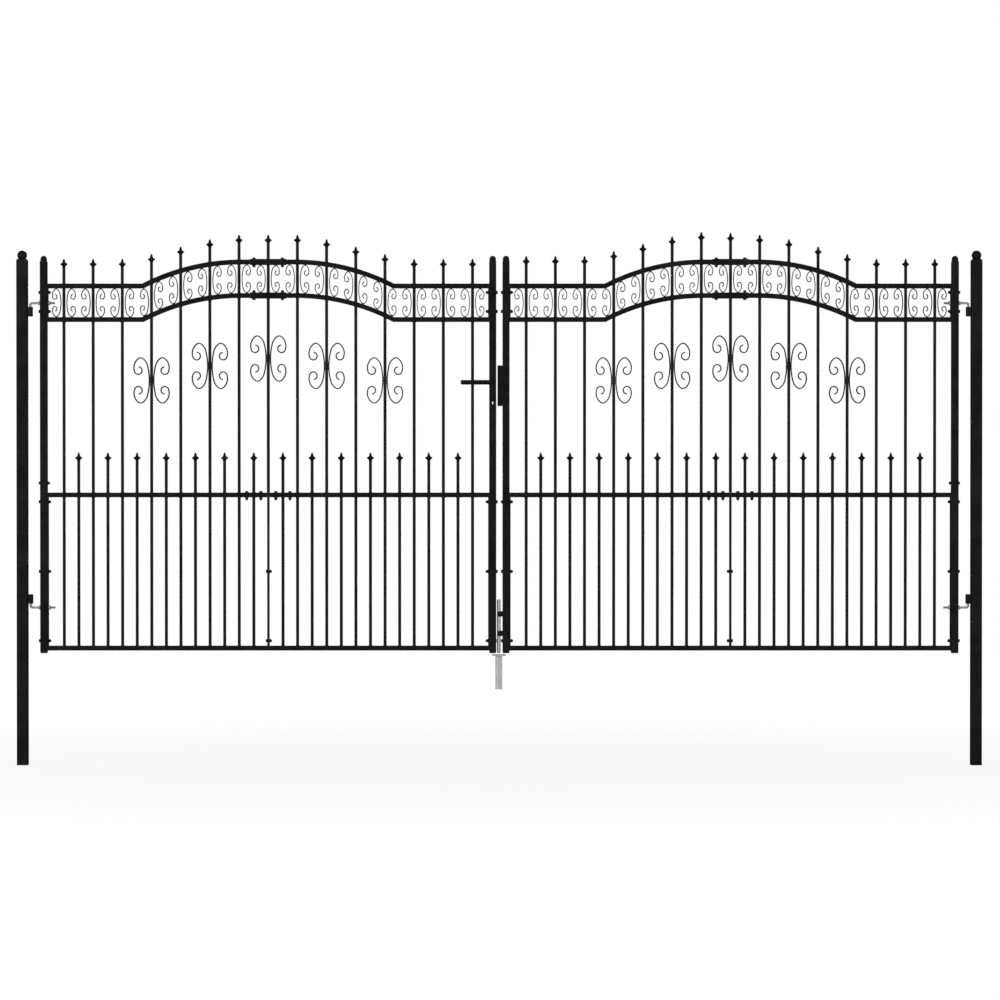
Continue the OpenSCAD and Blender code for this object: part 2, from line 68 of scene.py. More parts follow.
# %% Camera
away = 12.5
pixel = 0.00421
image_side = 1000
sensor = 36
tilt = math.radians(0.5)
aim_x = 2.0102
aim_z = 1.1157
lens = bpy.data.cameras.new("photo_camera")
lens.sensor_width = sensor
lens.lens = sensor * away / (image_side * pixel)
lens.clip_end = 1000
camera = bpy.data.objects.new("photo_camera", lens)
camera.location = (aim_x, -away, aim_z + away * math.tan(tilt))
camera.rotation_euler = (math.pi / 2 - tilt, 0, 0)
bpy.context.scene.collection.objects.link(camera)
bpy.context.scene.camera = camera
bpy.context.scene.view_settings.view_transform = "Standard"
print("lens", round(lens.lens, 1), "mm")

# %% [markdown]
# ## Light and floor
# A catalogue picture is lit evenly from large soft sources, before a white sweep. The world is white where
# the camera or a reflection sees it, and a softer grey where it only lights, so that a colour comes out
# about as it is written.

# %% World
world = bpy.data.worlds.new("white_sweep")
bpy.context.scene.world = world
world.use_nodes = True
sky = world.node_tree
sky.nodes.clear()


def seen_directly(tree):
    """1 where a camera ray, a reflection or a ray through glass sees the surface."""
    path = tree.nodes.new("ShaderNodeLightPath")
    total = path.outputs["Is Camera Ray"]
    for name in ("Is Glossy Ray", "Is Transmission Ray"):
        plus = tree.nodes.new("ShaderNodeMath")
        plus.operation = "ADD"
        plus.use_clamp = True
        tree.links.new(total, plus.inputs[0])
        tree.links.new(path.outputs[name], plus.inputs[1])
        total = plus.outputs[0]
    return total


white = sky.nodes.new("ShaderNodeBackground")
white.inputs["Color"].default_value = (1, 1, 1, 1)
soft = sky.nodes.new("ShaderNodeBackground")
soft.inputs["Color"].default_value = (0.98, 0.99, 1, 1)
soft.inputs["Strength"].default_value = 0.5
choose = sky.nodes.new("ShaderNodeMixShader")
sky.links.new(seen_directly(sky), choose.inputs[0])
sky.links.new(soft.outputs[0], choose.inputs[1])
sky.links.new(white.outputs[0], choose.inputs[2])
sky.links.new(choose.outputs[0], sky.nodes.new("ShaderNodeOutputWorld").inputs["Surface"])
print("world", world.name)

# %% [markdown]
# An upright bar only mirrors what is level with it, so lamps overhead would leave the gate dead black. Four
# tall lamps stand at the gate's own height instead, two before it and two behind it.

# %% Lamps
for name, place, wide, tall, power in (
    ("key_lamp", (-4.0, -5.5, 2.4), 1.6, 4.0, 190),
    ("fill_lamp", (8.0, -5.0, 2.2), 2.4, 4.0, 110),
    ("left_back_lamp", (-4.5, 5.0, 2.4), 1.6, 4.0, 90),
    ("right_back_lamp", (8.5, 5.0, 2.4), 1.6, 4.0, 90),
):
    lamp = bpy.data.lights.new(name, "AREA")
    lamp.shape = "RECTANGLE"
    lamp.size = wide
    lamp.size_y = tall
    lamp.energy = power
    holder = bpy.data.objects.new(name, lamp)
    holder.location = place
    toward = Vector((aim_x, 0, aim_z)) - Vector(place)
    holder.rotation_euler = toward.to_track_quat("-Z", "Y").to_euler()
    bpy.context.scene.collection.objects.link(holder)
    print("lamp", name, power, "W")

# %% [markdown]
# The floor is mostly white of its own and keeps a faint shadow near the gate. Away from the gate the white
# is whole, so that no horizon shows. The distance is measured with X squeezed, because the gate is long and
# thin.

# %% Floor
floor_reach = 400
floor_drop = 0.0005
squeeze_x = 0.4
shade_from, shade_to = 0.6, 2.4
white_near, white_far = 0.86, 1.0


def times(tree, first, second):
    """The product of two values."""
    product = tree.nodes.new("ShaderNodeMath")
    product.operation = "MULTIPLY"
    tree.links.new(first, product.inputs[0])
    tree.links.new(second, product.inputs[1])
    return product.outputs[0]


floor_mesh = bpy.data.meshes.new("floor")
sheet = bmesh.new()
bmesh.ops.create_grid(sheet, x_segments=1, y_segments=1, size=floor_reach)
bmesh.ops.translate(sheet, vec=(aim_x, 0, cad_low[2] - floor_drop), verts=sheet.verts)
sheet.to_mesh(floor_mesh)
sheet.free()
floor = bpy.data.objects.new("floor", floor_mesh)
bpy.context.scene.collection.objects.link(floor)
pale = bpy.data.materials.new("pale_floor")
pale.use_nodes = True
tree = pale.node_tree
matt = tree.nodes["Principled BSDF"]
matt.inputs["Base Color"].default_value = (0.9, 0.9, 0.9, 1)
matt.inputs["Roughness"].default_value = 0.9
matt.inputs["Specular IOR Level"].default_value = 0.1
glow = tree.nodes.new("ShaderNodeEmission")
both = tree.nodes.new("ShaderNodeMixShader")
spot = tree.nodes.new("ShaderNodeTexCoord")
narrow = tree.nodes.new("ShaderNodeMapping")
narrow.inputs["Location"].default_value = (-squeeze_x * aim_x, 0, 0)
narrow.inputs["Scale"].default_value = (squeeze_x, 1, 0)
far = tree.nodes.new("ShaderNodeVectorMath")
far.operation = "LENGTH"
fade = tree.nodes.new("ShaderNodeMapRange")
fade.interpolation_type = "SMOOTHSTEP"
for index, number in enumerate((shade_from, shade_to, white_near, white_far), 1):
    fade.inputs[index].default_value = number
tree.links.new(spot.outputs["Object"], narrow.inputs[0])
tree.links.new(narrow.outputs[0], far.inputs[0])
tree.links.new(far.outputs["Value"], fade.inputs[0])
tree.links.new(times(tree, seen_directly(tree), fade.outputs[0]), both.inputs[0])
tree.links.new(matt.outputs[0], both.inputs[1])
tree.links.new(glow.outputs[0], both.inputs[2])
tree.links.new(both.outputs[0], tree.nodes["Material Output"].inputs["Surface"])
floor_mesh.materials.append(pale)
print("floor at", round(cad_low[2], 4))

# %% [markdown]
# ## Finishes
# Four finishes cover the gate: powder coat on the steel, moulded plastic on the stiles' caps and feet, zinc
# plate on the hinge bolts, and dipped zinc on the drop bolt and its socket. All their patterns are set in
# metres by Object coordinates. A few helpers build them from noise, ranges and mixes.

# %% Pattern helpers


def noise(tree, scale, detail=2.0, stretch=(1, 1, 1)):
    """Noise from 0 to 1 with about `scale` lumps to the metre, stretched along an axis where asked."""
    place = tree.nodes.new("ShaderNodeTexCoord")
    turn = tree.nodes.new("ShaderNodeMapping")
    turn.inputs["Scale"].default_value = stretch
    lumps = tree.nodes.new("ShaderNodeTexNoise")
    lumps.inputs["Scale"].default_value = scale
    lumps.inputs["Detail"].default_value = detail
    tree.links.new(place.outputs["Object"], turn.inputs["Vector"])
    tree.links.new(turn.outputs[0], lumps.inputs["Vector"])
    return lumps.outputs[0]


def remap(tree, value, low, high, out_low, out_high):
    """The value carried from one range to another, kept within it."""
    ruler = tree.nodes.new("ShaderNodeMapRange")
    for index, number in enumerate((low, high, out_low, out_high), 1):
        ruler.inputs[index].default_value = number
    tree.links.new(value, ruler.inputs[0])
    return ruler.outputs[0]


def patches(tree, scale, detail, low, high, least=0, most=1):
    """Noise with its levels from low to high carried to the range from least to most."""
    return remap(tree, noise(tree, scale, detail), low, high, least, most)


def tint(tree, share, under, over):
    """Mixes two colours by a share. Each is three numbers or the result of an earlier tint."""
    mixer = tree.nodes.new("ShaderNodeMix")
    mixer.data_type = "RGBA"
    tree.links.new(share, mixer.inputs[0])
    for index, colour in ((6, under), (7, over)):
        if isinstance(colour, tuple):
            mixer.inputs[index].default_value = (*colour, 1)
        else:
            tree.links.new(colour, mixer.inputs[index])
    return mixer.outputs[2]


def bumps(tree, shader, height, strength, depth):
    """Lets a pattern raise and lower the skin."""
    bump = tree.nodes.new("ShaderNodeBump")
    bump.inputs["Strength"].default_value = strength
    bump.inputs["Distance"].default_value = depth
    tree.links.new(height, bump.inputs["Height"])
    tree.links.new(bump.outputs[0], shader.inputs["Normal"])


def edge_wear(tree, radius, most):
    """Share from 0 on flats to `most` along sharp edges, where the rounded normal leaves the true one."""
    rounded = tree.nodes.new("ShaderNodeBevel")
    rounded.samples = 4
    rounded.inputs["Radius"].default_value = radius
    surface = tree.nodes.new("ShaderNodeNewGeometry")
    match = tree.nodes.new("ShaderNodeVectorMath")
    match.operation = "DOT_PRODUCT"
    tree.links.new(rounded.outputs[0], match.inputs[0])
    tree.links.new(surface.outputs["Normal"], match.inputs[1])
    on_flat, on_edge = 0.998, 0.93
    return remap(tree, match.outputs["Value"], on_flat, on_edge, 0, most)


def new_finish(name):
    """A new material, its node tree and its shader."""
    finish = bpy.data.materials.new(name)
    finish.use_nodes = True
    return finish, finish.node_tree, finish.node_tree.nodes["Principled BSDF"]


# %% [markdown]
# Powder coat is a thin black film baked on steel: satin, with a fine orange-peel skin, a trace of dust on
# what faces up, and a thinner, greyer film along sharp edges. A plain gloss shader turns white at grazing
# angles before a white sweep, so the coat is mostly metallic, with a dark edge tint.

# %% Black powder coat
powder_coat, tree, shader = new_finish("black_powder_coat")
deep_black, soft_black = (0.0088, 0.0076, 0.0088), (0.0148, 0.0128, 0.0148)
rubbed_grey, dust_grey = (0.07, 0.067, 0.066), (0.09, 0.085, 0.078)
skin = tint(tree, patches(tree, 14, 5, 0.35, 0.65), deep_black, soft_black)
rubbed = times(tree, edge_wear(tree, 0.0016, 0.8), patches(tree, 90, 4, 0.4, 0.65, 0.2))
skin = tint(tree, rubbed, skin, rubbed_grey)
surface = tree.nodes.new("ShaderNodeNewGeometry")
upright = tree.nodes.new("ShaderNodeSeparateXYZ")
tree.links.new(surface.outputs["Normal"], upright.inputs[0])
facing_up = remap(tree, upright.outputs[2], 0.6, 1, 0, 0.22)
dusty = times(tree, facing_up, patches(tree, 45, 4, 0.4, 0.7))
skin = tint(tree, dusty, skin, dust_grey)
tree.links.new(skin, shader.inputs["Base Color"])
tree.links.new(patches(tree, 40, 4, 0.3, 0.7, 0.26, 0.38), shader.inputs["Roughness"])
shader.inputs["Specular IOR Level"].default_value = 0.0
shader.inputs["Metallic"].default_value = 0.8
shader.inputs["Specular Tint"].default_value = (0.1, 0.1, 0.1, 1)
bumps(tree, shader, noise(tree, 500, 2), 0.18, 0.0005)
print("finish", powder_coat.name)

# %% [markdown]
# The caps and feet of the stiles are moulded plastic. A mould is sparked to a fine grain, so the plastic is
# duller than the coat beside it.

# %% Black plastic
plastic, tree, shader = new_finish("black_plastic")
plastic_dark, plastic_pale = (0.0050, 0.0048, 0.0050), (0.0085, 0.0081, 0.0083)
plastic_edge = (0.03, 0.03, 0.03)
skin = tint(tree, patches(tree, 60, 3, 0.35, 0.65), plastic_dark, plastic_pale)
skin = tint(tree, edge_wear(tree, 0.0012, 0.4), skin, plastic_edge)
tree.links.new(skin, shader.inputs["Base Color"])
tree.links.new(patches(tree, 120, 3, 0.3, 0.7, 0.5, 0.66), shader.inputs["Roughness"])
shader.inputs["Specular IOR Level"].default_value = 0.07
bumps(tree, shader, noise(tree, 1500, 1), 0.25, 0.0003)
print("finish", plastic.name)

# %% [markdown]
# The hinge bolts and their nuts are zinc plated: a bright bath that turns a little cloudy and faintly
# yellow, and stays brightest along the edges.

# %% Zinc plate
zinc, tree, shader = new_finish("zinc_plate")
zinc_dark, zinc_pale = (0.235, 0.227, 0.235), (0.34, 0.33, 0.345)
zinc_yellow, zinc_bright = (0.29, 0.275, 0.24), (0.5, 0.5, 0.51)
skin = tint(tree, patches(tree, 70, 5, 0.3, 0.7), zinc_dark, zinc_pale)
skin = tint(tree, patches(tree, 18, 2, 0.5, 0.75, 0, 0.35), skin, zinc_yellow)
skin = tint(tree, edge_wear(tree, 0.0008, 0.5), skin, zinc_bright)
tree.links.new(skin, shader.inputs["Base Color"])
shader.inputs["Metallic"].default_value = 1.0
tree.links.new(patches(tree, 220, 4, 0.3, 0.7, 0.32, 0.5), shader.inputs["Roughness"])
bumps(tree, shader, noise(tree, 900, 2, (1, 1, 0.15)), 0.1, 0.0003)
print("finish", zinc.name)

# %% [markdown]
# The drop bolt and its socket are dipped in molten zinc rather than plated, because they stand in wet
# ground. Dipping leaves a paler, duller skin with the flat crystals called spangle, which a cell pattern
# draws.

# %% Galvanised skin
galvanised, tree, shader = new_finish("galvanised_steel")
spangle_dark, spangle_pale, stain = (0.355, 0.35, 0.36), (0.445, 0.435, 0.45), (0.32, 0.315, 0.30)
place = tree.nodes.new("ShaderNodeTexCoord")
spangle = tree.nodes.new("ShaderNodeTexVoronoi")
spangle.inputs["Scale"].default_value = 140
tree.links.new(place.outputs["Object"], spangle.inputs["Vector"])
split = tree.nodes.new("ShaderNodeSeparateColor")
tree.links.new(spangle.outputs["Color"], split.inputs[0])
skin = tint(tree, split.outputs[0], spangle_dark, spangle_pale)
skin = tint(tree, patches(tree, 30, 4, 0.45, 0.75, 0, 0.4), skin, stain)
tree.links.new(skin, shader.inputs["Base Color"])
shader.inputs["Metallic"].default_value = 0.9
tree.links.new(remap(tree, split.outputs[1], 0, 1, 0.42, 0.6), shader.inputs["Roughness"])
bumps(tree, shader, noise(tree, 300, 3), 0.15, 0.0004)
print("finish", galvanised.name)

# %% [markdown]
# ## Shapes for the workshop
# Every piece starts as a small bmesh shape: a cube, a circle or a few points on a line. A cube with beveled
# edges is a plate or a tube, a line spun round an axis is a turned piece, and a flat section pushed and
# spun along its way is a bent bar. Small repeated things, such as nuts and weld beads, are made once and
# stamped into place.

# %% Places and turns
along_x = Matrix.Rotation(math.pi / 2, 4, "Y")
to_front = Matrix.Rotation(math.pi / 2, 4, "X")
mirror_x = Matrix.Scale(-1, 4, (1, 0, 0))
mirror_z = Matrix.Scale(-1, 4, (0, 0, 1))
back_x = mirror_x @ along_x


def at(x=0.0, y=0.0, z=0.0):
    """A move to a place."""
    return Matrix.Translation((x, y, z))


print("moves, turns and mirrors are ready")

# %% Blocks and turned shapes


def edges_of(verts):
    return list({e for v in verts for e in v.link_edges})


def round_off(work, edges, ease, segments=2):
    """Rounds some edges with a small bevel."""
    bmesh.ops.bevel(
        work, geom=edges, offset=ease, segments=segments, profile=0.5, affect="EDGES", material=-1
    )


def cut(work, point, way, **clear):
    """Cuts everything along a plane, and clears one side of it where asked."""
    everything = work.verts[:] + work.edges[:] + work.faces[:]
    bmesh.ops.bisect_plane(work, geom=everything, plane_co=point, plane_no=way, dist=1e-7, **clear)


def block(work, low, high):
    """A plain block between two corners. Gives back its edges."""
    cube = bmesh.ops.create_cube(work, size=1)["verts"]
    low, high = Vector(low), Vector(high)
    bmesh.ops.scale(work, vec=high - low, verts=cube)
    bmesh.ops.translate(work, vec=(low + high) / 2, verts=cube)
    return edges_of(cube)


def eased_box(work, low, high, ease, segments=2):
    """A block between two corners with all its edges rounded."""
    round_off(work, block(work, low, high), ease, segments)


def square_tube(work, centre_x, side, foot, top, corner):
    """An upright square tube, closed at its ends, with rounded long corners."""
    half = side / 2
    edges = block(work, (centre_x - half, -half, foot), (centre_x + half, half, top))
    round_off(work, [e for e in edges if abs(e.verts[0].co.z - e.verts[1].co.z) > half], corner, 4)


def turned(work, outline, steps, place=Matrix()):
    """A line of (radius, height) points spun round the upright axis, then put in place."""
    line = [work.verts.new((radius, 0, height)) for radius, height in outline]
    edges = [work.edges.new(pair) for pair in zip(line, line[1:])]
    before = set(work.verts) - set(line)
    bmesh.ops.spin(
        work, geom=line + edges, cent=(0, 0, 0), axis=(0, 0, 1),
        angle=2 * math.pi, steps=steps, use_merge=True,
    )
    fresh = [v for v in work.verts if v not in before]
    bmesh.ops.remove_doubles(work, verts=fresh, dist=1e-6)
    fresh = [v for v in work.verts if v not in before]
    bmesh.ops.transform(work, matrix=place, verts=fresh)


def ring(work, outline, steps, place=Matrix()):
    """As turned, with the outline closed on itself."""
    turned(work, list(outline) + [outline[0]], steps, place)


def tapered(work, low_side, high_side, height, ease, place):
    """A square block that tapers upward from z = 0, with its edges rounded."""
    made = bmesh.ops.create_cone(
        work, cap_ends=True, segments=4, depth=height,
        radius1=low_side / math.sqrt(2), radius2=high_side / math.sqrt(2),
        matrix=place @ at(z=height / 2) @ Matrix.Rotation(math.pi / 4, 4, "Z"),
    )["verts"]
    round_off(work, edges_of(made), ease)


def short_bar(work, radius, low, high, segments, place=Matrix()):
    """A round or many-sided bar between two heights. Gives back the edges of its two ends."""
    made = bmesh.ops.create_cone(
        work, cap_ends=True, segments=segments, radius1=radius, radius2=radius, depth=high - low,
        matrix=place @ at(z=(low + high) / 2),
    )["verts"]
    return [e for e in edges_of(made) if any(len(f.verts) == segments for f in e.link_faces)]


print("blocks, tubes and turned shapes are ready")

# %% [markdown]
# A bent bar starts as its flat end. Pushing the end leaves a straight length behind it, and spinning the
# end round a centre leaves a bend, so a bar is drawn in the order in which a smith would bend it.

# %% Swept bars


def bar_end(wide, deep, corner, place=Matrix(), segments=3):
    """A new bmesh that holds the end of a flat or square bar, its corners rounded."""
    work = bmesh.new()
    bmesh.ops.create_grid(work, x_segments=1, y_segments=1, size=0.5)
    bmesh.ops.scale(work, vec=(wide, deep, 1), verts=work.verts)
    bmesh.ops.bevel(
        work, geom=work.verts[:], offset=corner,
        segments=segments, profile=0.5, affect="VERTICES", material=-1,
    )
    bmesh.ops.transform(work, matrix=place, verts=work.verts)
    return work


def round_end(radius, place, segments):
    """As bar_end, for round bar."""
    work = bmesh.new()
    bmesh.ops.create_circle(work, cap_ends=True, segments=segments, radius=radius, matrix=place)
    return work


def with_edges(faces):
    return list(faces) + list({e for f in faces for e in f.edges}) + list({v for f in faces for v in f.verts})


def push(work, faces, way):
    """Pushes an end straight on, and gives back the new end."""
    moved = bmesh.ops.extrude_face_region(work, geom=with_edges(faces))["geom"]
    bmesh.ops.translate(work, vec=way, verts=[v for v in moved if isinstance(v, bmesh.types.BMVert)])
    return [f for f in moved if isinstance(f, bmesh.types.BMFace)]


def bend(work, faces, centre, axis, angle, steps):
    """Spins an end round a bend, and gives back the new end."""
    moved = bmesh.ops.spin(
        work, geom=with_edges(faces), cent=centre, axis=axis, angle=angle, steps=steps, use_merge=False
    )["geom_last"]
    return [f for f in moved if isinstance(f, bmesh.types.BMFace)]


print("swept bars are ready")

# %% [markdown]
# A pattern is a finished small mesh that is copied many times. A piece is what the gate shows: its place is
# in its mesh, its normals point outward, and it rides on a body of the frame and stands for a node of it.

# %% Patterns and pieces
slot_finish = {"black_paint": powder_coat, "black_plastic": plastic, "zinc": zinc}


def as_pattern(work, name):
    """Keeps a bmesh as a pattern."""
    pattern = bpy.data.meshes.new(name)
    bmesh.ops.recalc_face_normals(work, faces=work.faces)
    work.to_mesh(pattern)
    work.free()
    return pattern


def stamp(work, pattern, place=Matrix()):
    """Adds a copy of a pattern, put in place."""
    placed = pattern.copy()
    placed.transform(place)
    work.from_mesh(placed)
    bpy.data.meshes.remove(placed)


def stamped(pattern):
    """A new bmesh with one copy of a pattern in it."""
    work = bmesh.new()
    stamp(work, pattern)
    return work


def piece(work, name, slot, body, nodes=(), place=Matrix(), sharp=40, finish=None):
    """Finishes a bmesh as a piece of the gate: put in place, normals outward, finish, body and node."""
    bmesh.ops.transform(work, matrix=place, verts=work.verts)
    bmesh.ops.recalc_face_normals(work, faces=work.faces)
    mesh = bpy.data.meshes.new(name)
    work.to_mesh(mesh)
    work.free()
    mesh.shade_smooth()
    mesh.set_sharp_from_angle(angle=math.radians(sharp))
    mesh.materials.append(finish or slot_finish[slot])
    made = bpy.data.objects.new(name, mesh)
    bpy.context.scene.collection.objects.link(made)
    even = made.modifiers.new("even_shading", "WEIGHTED_NORMAL")
    even.keep_sharp = True
    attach(made, body)
    if nodes:
        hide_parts(*nodes)
    print("piece", name, len(mesh.polygons), "faces")


print("finishes by slot", list(slot_finish))

# %% [markdown]
# Leaf pieces are drawn once, in a leaf's own run from its hinge axis. A shift takes that run to the left
# leaf, and a shift with a mirror takes it to the right one. Where two pieces touch, the frame leaves a seat
# of 0.3 mm.

# %% The two leaves
left_axis = 0.0345
right_axis = 3.9805
leaves = {"left": at(left_axis), "right": at(right_axis) @ mirror_x}
seat = 0.0003
stile_side = 0.030
stile_half = stile_side / 2
stile_corner = 0.003
stile_foot = 0.481
stile_top = 2.115
hinge_stile_u = 0.056
meeting_stile_u = 1.945
stile_places = {"hinge": hinge_stile_u, "meeting": meeting_stile_u}
middle_u = 1.0005
to_middle = at(middle_u)
print("leaves", list(leaves))

# %% [markdown]
# ## Posts
# Each post is 45 mm square tube with the rounded corners of rolled tube. Its cap is a pressed square that
# tapers a little, with a ball welded on. The ball is turned, because a spun outline is round from all
# sides.

# %% Posts and caps
post_side = 0.045
post_half = post_side / 2
post_corner = 0.004
post_top = 2.121
cap_ease = 0.001
cap_rim_top = 0.0026
cap_foot, cap_head, cap_h, cap_start = 0.0444, 0.034, 0.007, 0.0023
ball_r = 0.0205
ball_flat = -0.0157
ball_z = 0.0238
ball_arc = [math.radians(a) for a in range(40, 174, 7)]
ball_round = [(ball_r * math.sin(a), -ball_r * math.cos(a)) for a in ball_arc]
ball_line = [(0.0, ball_flat)] + ball_round + [(0.0, ball_r)]
ball_weld = [(0.0138, 0.0085), (0.0162, 0.0091), (0.0156, 0.0102), (0.0146, 0.0108), (0.0136, 0.0100)]
for side, x in (("left", 0.0), ("right", 4.015)):
    work = bmesh.new()
    square_tube(work, x, post_side, 0, post_top, post_corner)
    piece(work, f"{side}_post_tube", "black_paint", "posts", [f"{side}_post"])
    work = bmesh.new()
    rim_low = (x - post_half, -post_half, post_top + seat)
    rim_high = (x + post_half, post_half, post_top + cap_rim_top)
    eased_box(work, rim_low, rim_high, cap_ease)
    tapered(work, cap_foot, cap_head, cap_h, cap_ease, at(x, 0, post_top + cap_start))
    turned(work, ball_line, steps=40, place=at(x, 0, post_top + ball_z))
    ring(work, ball_weld, steps=32, place=at(x, 0, post_top))
    piece(work, f"{side}_ball_cap", "black_paint", "posts", [f"{side}_post_cap"])

# %% [markdown]
# ## Stiles
# The stiles are 30 mm tube, closed by a domed plastic cap and a tapered plastic foot. The left meeting
# stile has the keyhole. It is cut with bisecting planes: they draw the hole's outline on the front and back
# walls, those faces go, and bridging the two rims makes the hole's sides. Beveling the bridge rounds the
# top of the keyhole.

# %% Stiles
key_z = 1.526
key_half, slot_half = 0.0031, 0.0015
slot_low, slot_high = -0.008, -0.0027
key_ease = 0.0014


def keyhole(work, centre_x):
    """Cuts a keyhole right through a stile's front and back walls."""
    for x in (-key_half, -slot_half, slot_half, key_half):
        cut(work, (centre_x + x, 0, 0), (1, 0, 0))
    for z in (slot_low, slot_high, key_half):
        cut(work, (0, 0, key_z + z), (0, 0, 1))
    holes = []
    for face in work.faces:
        middle = face.calc_center_median()
        across = abs(middle.x - centre_x)
        height = middle.z - key_z
        in_slot = across < slot_half and slot_low < height < slot_high
        in_round = across < key_half and slot_high < height < key_half
        if abs(face.normal.y) > 0.9 and (in_slot or in_round):
            holes.append(face)
    bmesh.ops.delete(work, geom=holes, context="FACES")
    rims = [e for e in work.edges if e.is_boundary]
    walls = bmesh.ops.bridge_loops(work, edges=rims)["faces"]
    through = {e for f in walls for e in f.edges if abs(e.verts[0].co.y - e.verts[1].co.y) > stile_half}
    beside_slot = (slot_half + key_half) / 2
    tops = [
        e for e in through
        if e.verts[0].co.z > key_z - key_half and abs(e.verts[0].co.x - centre_x) > beside_slot
    ]
    round_off(work, tops, key_ease, 3)


for side, place in leaves.items():
    for kind, u in stile_places.items():
        work = bmesh.new()
        square_tube(work, u, stile_side, stile_foot, stile_top, stile_corner)
        if (side, kind) == ("left", "meeting"):
            keyhole(work, u)
        name = f"{side}_{kind}_stile"
        piece(work, f"{name}_tube", "black_paint", f"{side}_leaf", [name], place)

# %% Stile caps and feet
moulded_ease = 0.0012
cap_base_top = 0.0043
dome_r = 0.014
quarter = [math.radians(a) for a in range(15, 91, 15)]
dome_line = [(0.0, 2 * dome_r)] + [(dome_r * math.sin(a), dome_r * (1 + math.cos(a))) for a in quarter]
dome_line += [(dome_r, 0.0064), (0.0143, 0.0049), (0.0148, 0.0041), (0.0, 0.0041)]
foot_side, foot_h, foot_drop = 0.026, 0.0097, 0.010
for side, place in leaves.items():
    work = bmesh.new()
    for u in stile_places.values():
        low = (u - stile_half, -stile_half, stile_top + seat)
        high = (u + stile_half, stile_half, stile_top + cap_base_top)
        eased_box(work, low, high, moulded_ease, 3)
        turned(work, dome_line, steps=32, place=at(u, 0, stile_top + seat))
    piece(work, f"{side}_dome_caps", "black_plastic", f"{side}_leaf", [f"{side}_stile_caps"], place)
    work = bmesh.new()
    for u in stile_places.values():
        tapered(work, foot_side, stile_side, foot_h, moulded_ease, at(u, 0, stile_foot - foot_drop))
    piece(work, f"{side}_foot_plugs", "black_plastic", f"{side}_leaf", [f"{side}_stile_feet"], place)

# %% [markdown]
# ## The arched rails
# Both frieze rails are 20 mm tube. From the leaf's middle a rail runs level for a short crown, bends down
# on a radius of 900 mm, and is mitred to a straight run. A rounded square is pushed along the crown and
# spun through the arc. The arc and the straight run are both cut on the mitre's plane, and the cut rims
# meet and are merged. A level cut through the run first gives its rim the same corners as the arc's.

# %% Rails
rail_side = 0.020
rail_half = rail_side / 2
rail_corner = 0.002
bottom_z, middle_z, frieze_z, top_z = 0.492, 1.137, 1.875, 2.016
arch_flat, arch_r, arch_rise = 0.1133, 0.900, 0.101
arch_turn = math.acos(1 - arch_rise / arch_r)
kink = arch_flat + arch_r * math.sin(arch_turn)
frieze_start, plain_start, rail_end = 0.0071, 0.0023, 0.9272
past_mitre = 0.02


def rise(w):
    """Height of the arch over the straight run at distance w from the leaf's middle."""
    past = abs(w) - arch_flat
    if past <= 0:
        return arch_rise
    return max(0.0, math.sqrt(max(0.0, arch_r**2 - past**2)) - arch_r + arch_rise)


def slope(w):
    """Angle of the rail there, downward and away from the middle."""
    past = abs(w) - arch_flat
    if past <= 0 or abs(w) >= kink:
        return 0.0
    return math.asin(past / arch_r)


def rail_end_at(x, z):
    """A new bmesh with the end of a rail in it, facing along X."""
    return bar_end(rail_side, rail_side, rail_corner, at(x, 0, z) @ along_x)


def level_bar(start, end, z):
    """A straight length of rail."""
    bar = rail_end_at(start, z)
    push(bar, bar.faces[:], (end - start, 0, 0))
    return bar


def frieze_rail(z):
    """Half of a frieze rail, from the leaf's middle outward."""
    arch = rail_end_at(frieze_start, z + arch_rise)
    tip = push(arch, arch.faces[:], (arch_flat - frieze_start, 0, 0))
    tip = bend(arch, tip, (arch_flat, 0, z + arch_rise - arch_r), (0, 1, 0), arch_turn, steps=18)
    push(arch, tip, (past_mitre * math.cos(arch_turn), 0, -past_mitre * math.sin(arch_turn)))
    run = level_bar(kink - past_mitre, rail_end, z)
    cut(run, (kink, 0, z), (0, 0, 1))
    mitre = Vector((math.cos(arch_turn / 2), 0, -math.sin(arch_turn / 2)))
    cut(arch, (kink, 0, z), mitre, clear_outer=True)
    cut(run, (kink, 0, z), mitre, clear_inner=True)
    stamp(arch, as_pattern(run, "rail_run"))
    bmesh.ops.remove_doubles(arch, verts=arch.verts, dist=1e-4)
    return as_pattern(arch, "frieze_rail")


rails = bmesh.new()
for z in (frieze_z, top_z):
    stamp(rails, frieze_rail(z))
for z in (bottom_z, middle_z):
    stamp(rails, as_pattern(level_bar(plain_start, rail_end, z), "rail"))
rails = as_pattern(rails, "rails")
print("rails of half a leaf", len(rails.polygons), "faces, kink at", round(kink, 4))

# %% [markdown]
# ## Pickets
# A picket is 13 mm round bar that goes through all the rails, with a cast spear pressed on top. Turning it
# from one outline keeps the bar and its spear in line. Every crossing has a small weld bead, tilted with
# the rail.

# %% Pickets and welds
pitch, half_count = 0.1228, 7
picket_r = 0.0065
tip_h = 0.037
long_tip, short_tip = 2.132, 1.317
tip_step, tip_start = 0.031, 4.66
spear = (
    (0.0065, 0.0), (0.0068, 0.02), (0.0076, 0.125), (0.0082, 0.150), (0.0139, 0.280), (0.0150, 0.312),
    (0.0155, 0.351), (0.0150, 0.390), (0.0138, 0.424), (0.0100, 0.475), (0.0081, 0.508), (0.0062, 0.568),
    (0.0056, 0.676), (0.0048, 0.770), (0.0034, 0.878), (0.0011, 0.968), (0.0, 1.0),
)
bead_line = [(0.0060, -0.0003), (0.0091, -0.0003), (0.0077, 0.0014), (0.0060, 0.0026)]


